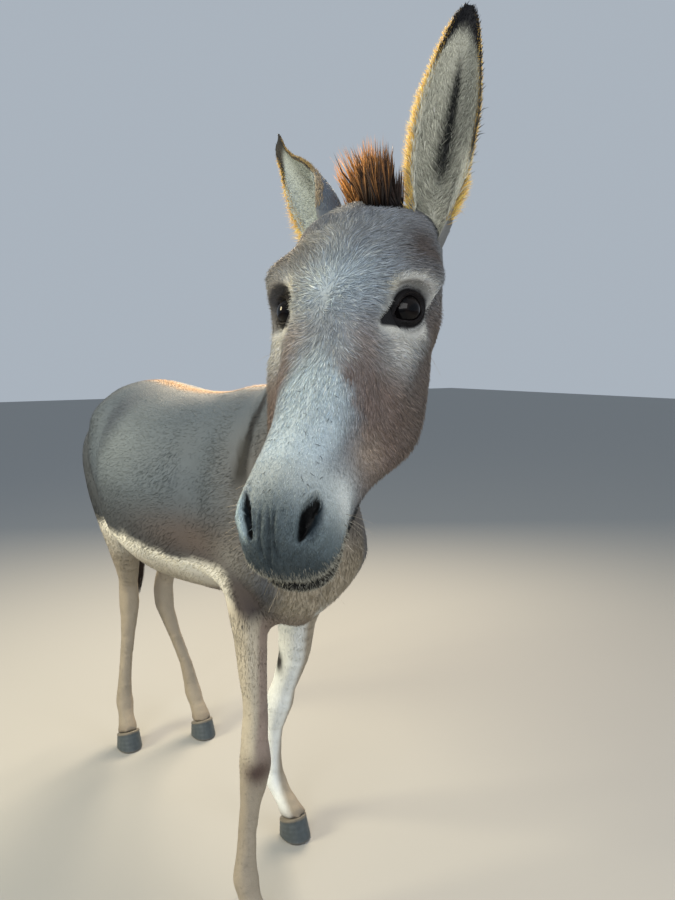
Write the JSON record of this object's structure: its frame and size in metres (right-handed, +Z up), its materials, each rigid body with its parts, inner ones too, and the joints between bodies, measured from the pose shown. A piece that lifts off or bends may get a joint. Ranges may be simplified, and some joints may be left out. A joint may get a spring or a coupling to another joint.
{
  "type": "donkey",
  "caption": "Grown donkey standing with its head turned to its right and its ears raised, a still, life-size model such as a museum shows.",
  "frame": {"origin": "on the floor under the middle of the model's box", "axes": "+X to the animal's left, the model's shortest side; +Y from chest to rump, its longest side, so the animal faces -Y; +Z up"},
  "size_m": [0.6622, 1.8046, 1.644],
  "materials": {
    "coat": "short grey-brown coat, matt",
    "pale_coat": "short pale coat, matt",
    "ear_coat": "pale grey hair, matt",
    "long_hair": "coarse dark hair, matt",
    "eye": "wet, near black",
    "hoof": "slate-grey horn"
  },
  "bodies": {
    "root": {"head": "coat", "neck": "coat", "trunk": "coat", "foreleg_right_upper": "coat", "foreleg_left_upper": "coat", "hindleg_right_upper": "coat", "hindleg_left_upper": "coat", "foreleg_right_lower": "pale_coat", "foreleg_left_lower": "pale_coat", "hindleg_right_lower": "pale_coat", "hindleg_left_lower": "pale_coat", "forehoof_right": "hoof", "forehoof_left": "hoof", "hindhoof_right": "hoof", "hindhoof_left": "hoof", "ear_right": "ear_coat", "ear_left": "ear_coat", "eye_right": "eye", "eye_left": "eye", "mane": "long_hair", "tail": "coat", "tail_tuft": "long_hair"}
  },
  "joints": []
}
